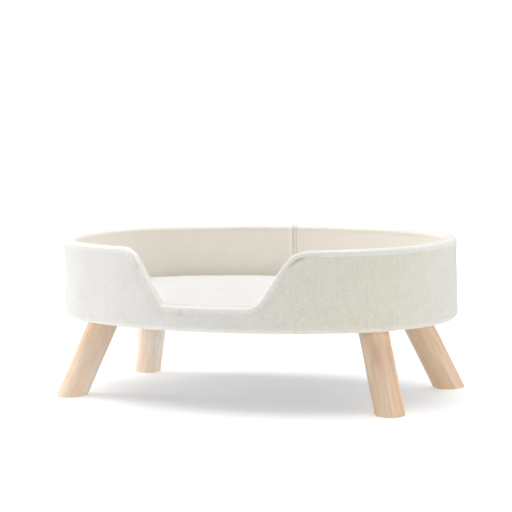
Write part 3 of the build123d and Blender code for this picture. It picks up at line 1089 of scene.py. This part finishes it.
# Pile and stitches, by Geometry Nodes
def newTree(name, *sizes):
    # Tree with its geometry and these named sizes as inputs
    tree = bpy.data.node_groups.new(name, "GeometryNodeTree")
    tree.interface.new_socket("Geometry", in_out="INPUT", socket_type="NodeSocketGeometry")
    for size in sizes:
        tree.interface.new_socket(size, in_out="INPUT", socket_type="NodeSocketFloat")
    tree.interface.new_socket("Geometry", in_out="OUTPUT", socket_type="NodeSocketGeometry")
    return tree, addNode(tree, "NodeGroupInput").outputs, addNode(tree, "NodeGroupOutput").inputs


def vectorNode(tree, operation, *values):
    # SCALE takes a vector and a number, ADD two vectors
    keys = (0, "Scale") if operation == "SCALE" else (0, 1)
    return addNode(tree, "ShaderNodeVectorMath", zip(keys, values), operation=operation).outputs[0]


def placeAlong(tree, result, points, shape, direction, size):
    # Sets the shape on the points, turned and sized, as one real mesh with a material
    turn = addNode(tree, "FunctionNodeAlignRotationToVector", {"Vector": direction}, axis="Z")
    place = addNode(tree, "GeometryNodeInstanceOnPoints", {
        "Points": points, "Instance": shape, "Rotation": turn.outputs["Rotation"], "Scale": size})
    real = addNode(tree, "GeometryNodeRealizeInstances", {"Geometry": place.outputs["Instances"]})
    paint = addNode(tree, "GeometryNodeSetMaterial", {"Geometry": real.outputs["Geometry"]})
    feed(tree, paint.outputs["Geometry"], result["Geometry"])
    return tree, paint


pile = {
    "radius": 0.0002,
    "sink": 0.0004,
    "sides": 3,
    "sizes": (0.65, 1.2),
    "spotSeed": 4,
    "scatterSeed": 7,
    "sizeSeed": 11,
}


def makePileTree():
    # Tufts on the faces, as thick as the attribute pile says, leaning down and every way
    tree, given, result = newTree("pileTree", "Tufts per square metre", "Tuft length", "Tuft radius",
                                  "Sink", "Stand", "Droop", "Scatter")
    share = addNode(tree, "GeometryNodeInputNamedAttribute", {"Name": "pile"}, data_type="FLOAT")
    density = times(tree, given["Tufts per square metre"], share.outputs["Attribute"])
    spots = addNode(tree, "GeometryNodeDistributePointsOnFaces", {
        "Mesh": given["Geometry"], "Seed": pile["spotSeed"], "Density": density}).outputs
    tuft = addNode(tree, "GeometryNodeMeshCone", {
        "Vertices": pile["sides"], "Radius Top": 0, "Radius Bottom": given["Tuft radius"],
        "Depth": given["Tuft length"]})
    sunk = addNode(tree, "ShaderNodeCombineXYZ", {"Z": times(tree, given["Sink"], -1.0)})
    rooted = addNode(tree, "GeometryNodeTransform", {
        "Geometry": tuft.outputs["Mesh"], "Translation": sunk.outputs[0]})
    loose = addNode(tree, "FunctionNodeRandomValue", {
        0: (-1, -1, -1), 1: (1, 1, 1), "Seed": pile["scatterSeed"]}, data_type="FLOAT_VECTOR").outputs[0]
    lean = vectorNode(tree, "SCALE", spots["Normal"], given["Stand"])
    for direction, amount in (((0, 0, -1), given["Droop"]), (loose, given["Scatter"])):
        lean = vectorNode(tree, "ADD", lean, vectorNode(tree, "SCALE", direction, amount))
    least, most = pile["sizes"]
    size = addNode(tree, "FunctionNodeRandomValue", {2: least, 3: most, "Seed": pile["sizeSeed"]}).outputs[1]
    return placeAlong(tree, result, spots["Points"], rooted.outputs["Geometry"], lean, size)


stitches = {
    "sizes": {"Stitch pitch": 0.0042, "Stitch length": 0.0034, "Thread radius": 0.00042},
    "bead": {"Segments": 6, "Rings": 4, "Radius": 1},
    "sink": 0.0009,
    "lowest": 0.157,
    "backShares": (0.15, 0.35, 4001),  # shares of the oval that hold the back, and steps between them
    "wallStep": 0.002,
    "roundSteps": 6,
    "cushionSteps": 400,
    "cushionInset": 0.0027,
    "cushionLift": 0.0004,
}


def makeStitchTree():
    # A bead of thread at even steps along a run of edges
    tree, given, result = newTree("stitchTree", *stitches["sizes"])
    curve = addNode(tree, "GeometryNodeMeshToCurve", {"Mesh": given["Geometry"]})
    even = addNode(tree, "GeometryNodeResampleCurve", {
        "Curve": curve.outputs["Curve"], "Length": given["Stitch pitch"]}, mode="LENGTH")
    bead = addNode(tree, "GeometryNodeMeshUVSphere", stitches["bead"])
    size = addNode(tree, "ShaderNodeCombineXYZ", {
        "X": given["Thread radius"], "Y": given["Thread radius"],
        "Z": times(tree, given["Stitch length"], 0.5)})
    along = addNode(tree, "GeometryNodeInputTangent").outputs["Tangent"]
    return placeAlong(tree, result, even.outputs["Curve"], bead.outputs["Mesh"], along, size.outputs[0])


def growOn(obj, tree, paint, finish, values):
    # Runs the tree on the object's mesh and keeps what it makes as a plain mesh
    paint.inputs["Material"].default_value = finish
    grown = obj.modifiers.new("grown", "NODES")
    grown.node_group = tree
    for item in tree.interface.items_tree:
        if item.in_out == "INPUT" and item.name in values:
            grown[item.identifier] = values[item.name]
    mesh = evaluated(obj)
    if "pile" in mesh.attributes:
        mesh.attributes.remove(mesh.attributes["pile"])
    smooth(mesh)
    swap(obj, mesh)


# name: carriers and the attribute that says where, tufts a square metre, length, stand, droop, scatter,
# finish, body, slot
pileCoats = {
    "outerPile": ([(outerCoverPiece, "pile")], 290000, 0.0019, 0.35, 0.55, 0.6,
                  outerPile, "bed", "outer_plush"),
    "rimPilePaintedLight": ([(rimBandPiece, "pile")], 700000, 0.0016, 0.4, 0.2, 0.75,
                rimPilePaintedLight, "bed", "rim_plush"),
    "ruffledPile": ([(outerCoverPiece, "ruffled"), (rimBandPiece, "ruffled")], 120000, 0.0028, 0.5, 0.1, 0.8,
                    outerPile, "bed", "outer_plush"),
    "liningPile": ([(liningPiece, "innerPile"), (rimBandPiece, "innerPile")], 330000, 0.0017, 0.35, 0.5, 0.6,
                   liningPile, "bed", "lining_plush"),
    "cushionPile": ([(cushionPiece, "pile")], 290000, 0.0014, 0.6, 0.0, 0.7,
                    cushionPile, "cushion", "cushion_plush"),
}


def makePileBase(name, carriers):
    # Bare copy of the cloths that the pile stands on, with its thickness at each point
    points, faces, shares = [], [], []
    for obj, layer in carriers:
        start = len(points)
        points.extend(tuple(v.co) for v in obj.data.vertices)
        faces.extend(tuple(start + i for i in f.vertices) for f in obj.data.polygons)
        values = np.zeros(len(obj.data.vertices), dtype=np.float32)
        obj.data.attributes[layer].data.foreach_get("value", values)
        shares.extend(values)
    return meshObject(name, points, faces, pile=np.clip(shares, 0, 1))


pileTree, pilePaint = makePileTree()
coats = {}
for name, (carriers, density, length, stand, droop, scatter, finish, body, slotName) in pileCoats.items():
    coats[name] = makePileBase(name, carriers)
    growOn(coats[name], pileTree, pilePaint, finish, {
        "Tufts per square metre": float(density), "Tuft length": length, "Tuft radius": pile["radius"],
        "Sink": pile["sink"], "Stand": stand, "Droop": droop, "Scatter": scatter,
    })
    settle(coats[name], finish, body, slotName)


def backSpot(x, inset):
    # Where the oval at that inset passes x, at the back
    place, out = ovalAt(np.linspace(*stitches["backShares"]) * ovalLength)
    xy = place - out * inset
    return xy[np.argmin(np.abs(xy[:, 0] - x))]


def backSeamRun(x):
    # Up the lining and over the band's inner shoulder
    inner, wide, sink = rimBand["innerRound"], tub["thickness"], stitches["sink"]
    levels = np.arange(stitches["lowest"], tub["top"] - rimBand["depth"], stitches["wallStep"])
    run, reach = [(wide - sink, z) for z in levels], inner - sink
    run += [(wide - inner + reach * co, tub["top"] - inner + reach * si)
            for si, co in quarterTurn(stitches["roundSteps"])]
    return [(*backSpot(x, inset), z) for inset, z in run]


def cushionRun():
    place, out = ovalAt(evenLengths(stitches["cushionSteps"]))
    level = cushion["bottom"] + cushion["panelThickness"] + stitches["cushionLift"]
    return [(x, y, level) for x, y in place - out * (cushion["inset"] + stitches["cushionInset"])]


stitchTree, stitchPaint = makeStitchTree()
for name, runs, closed, body, slotName in (
    ("backSeamStitches", [backSeamRun(x) for x in backSeam["stitchLines"]], False, "bed", "lining_plush"),
    ("cushionStitches", [cushionRun()], True, "cushion", "cushion_plush"),
):
    points, edges = [], []
    for run in runs:
        start, count = len(points), len(run)
        points.extend(run)
        edges.extend((start + k, start + (k + 1) % count) for k in range(count if closed else count - 1))
    piece = meshObject(name, points, [], edges)
    growOn(piece, stitchTree, stitchPaint, seamThread, stitches["sizes"])
    settle(piece, seamThread, body, slotName)

# Rigid parts keep their solids and get their finish
legs = {
    "splay": 26.5,
    "turn": 45,
    "top": 0.1164,
    "spread": (0.212, 0.074),
    "grainSteps": (0.37, 0.11),  # how far the grain moves on from leg to leg
}

# name: (side, end, light and shade), the last painted: the back-left leg's wood lighter where light falls,
# the right legs' darker in shade
for name, (side, end, legLightAndShade) in {
    "front_left": (-1, -1, (0.99, 0.99, 1)),
    "front_right": (1, -1, (0.92, 0.89, 0.865)),
    "back_left": (-1, 1, (1.04, 1.14, 1.27)),
    "back_right": (1, 1, (0.87, 0.825, 0.785)),
}.items():
    splay, turn = radians(legs["splay"]), radians(legs["turn"])
    axis = Vector((-side * cos(turn) * sin(splay), -end * sin(turn) * sin(splay), cos(splay)))
    lean = Vector((0, 0, 1)).rotation_difference(axis).to_euler()
    top = Vector((side * legs["spread"][0], end * legs["spread"][1], legs["top"]))
    grainStart = top + axis * (legs["grainSteps"][0] * side + legs["grainSteps"][1] * end)
    dress(nodes[name + "_leg"], woodFinish(name + "Wood", tuple(lean), tuple(grainStart), legLightAndShade))
    dress(nodes[name + "_bolt"], zincSteel)
    dress(nodes[name + "_tee_nut"], zincSteel)
for name, finish in {
    "base_board": plywood,
    "wall_board": hardboard,
    "wall_joint_strip": hardboard,
    "wall_staples": stapleWire,
    "hem_staples": stapleWire,
}.items():
    dress(nodes[name], finish)
print("rigid parts finished")

# Floor and light
studio = {
    "floorReach": 6.0,
    "sweepStart": 2.2,  # where the floor begins to bend up into the backdrop
    "sweepRadius": 1.2,
    "sweepSteps": 12,
    "backdropTop": 4.5,
    "floorTone": (0.745, 0.75, 0.765),
    "poolGlow": 0.22,  # lifts the shadow under the bed
    "poolReach": (0.4, 0.62),
    "floorGlow": 0.17,
    "farGlow": 0.63,
    "glowReach": (0.9, 2.6),  # distances over which the floor brightens
    "glowFade": (0.8, 1.5),  # heights over which the backdrop darkens again
    "skyStrength": 0.02,
    "horizonStrength": 0.5,
    "horizonFade": (0.06, 0.24),
    "specks": (40, 2, 0.5),
    "speckStep": 0.01,
    "roughness": 0.6,
    "specular": 0.3,
    "lampAim": (0, 0, 0.15),
}

# name: (place, size, power)
lamps = {
    "topLamp": ((0, 0.2, 2.6), 3.0, 79.2),
    "highLeftLamp": ((-2.2, 0, 2.2), 2.0, 34),
    "leftLamp": ((-2.6, -0.2, 0.8), 0.7, 16),
    "leftFrontLamp": ((-1.8, -2.0, 1.0), 1.2, 8.2),
    "rightLamp": ((2.6, 0.2, 1.1), 1.6, 9.7),
    "rightFrontLamp": ((2.4, -1.2, 0.9), 1.0, 10.6),
}


def makeFloor():
    side, start, r = studio["floorReach"], studio["sweepStart"], studio["sweepRadius"]
    sweep = [(start + si * r, r - co * r) for si, co in quarterTurn(studio["sweepSteps"])]
    profile = [(-side, 0), (-1, 0), (1, 0), *sweep, (start + r, studio["backdropTop"])]
    points = [(x, y, z) for y, z in profile for x in (-side, side)]
    faces = [(2 * k, 2 * k + 1, 2 * k + 3, 2 * k + 2) for k in range(len(profile) - 1)]
    floor = meshObject("studioFloor", np.array(points), faces)
    mat, tree = newFinish("studioFloor")
    tone, lighter = studio["floorTone"], [v + studio["speckStep"] for v in studio["floorTone"]]
    speck = noiseNode(tree, objectPattern(tree), *studio["specks"])
    away = addNode(tree, "ShaderNodeVectorMath", {0: objectPattern(tree)}, operation="LENGTH")
    away = away.outputs["Value"]
    pool = rangeNode(tree, away, studio["poolGlow"], 0, studio["poolReach"], "SMOOTHSTEP")
    far = rangeNode(tree, away, studio["floorGlow"], studio["farGlow"], studio["glowReach"])
    fading = rangeNode(tree, axisNodes(tree)["Z"], 1, 0, studio["glowFade"])
    dress(floor, feedShader(mat, {
        "Base Color": rampNode(tree, speck, [(0.3, tone), (0.7, lighter)]),
        "Roughness": studio["roughness"],
        "Specular IOR Level": studio["specular"],
        "Emission Color": (1, 1, 1),
        "Emission Strength": times(tree, mathNode(tree, "ADD", pool, far), fading),
    }))


def makeSky():
    # Brightest at the horizon, so that no dark band shows above the floor's end
    world = bpy.data.worlds.new("studioSky")
    scene.world = world
    world.use_nodes = True
    tree = world.node_tree
    level = axisNodes(tree, addNode(tree, "ShaderNodeTexCoord").outputs["Generated"])["Z"]
    strength = rangeNode(tree, level, studio["horizonStrength"], studio["skyStrength"], studio["horizonFade"])
    feed(tree, (1, 1, 1), tree.nodes["Background"].inputs["Color"])
    feed(tree, strength, tree.nodes["Background"].inputs["Strength"])


def makeLamp(name, place, size, power):
    data = bpy.data.lights.new(name, "AREA")
    data.shape = "SQUARE"
    data.size = size
    data.energy = power
    obj = bpy.data.objects.new(name, data)
    look = Vector(studio["lampAim"]) - Vector(place)
    obj.matrix_world = Matrix.Translation(place) @ look.to_track_quat("-Z", "Y").to_matrix().to_4x4()
    scene.collection.objects.link(obj)


makeFloor()
makeSky()
for name, values in lamps.items():
    makeLamp(name, *values)
scene.view_settings.view_transform = "Standard"
print("studio lit")
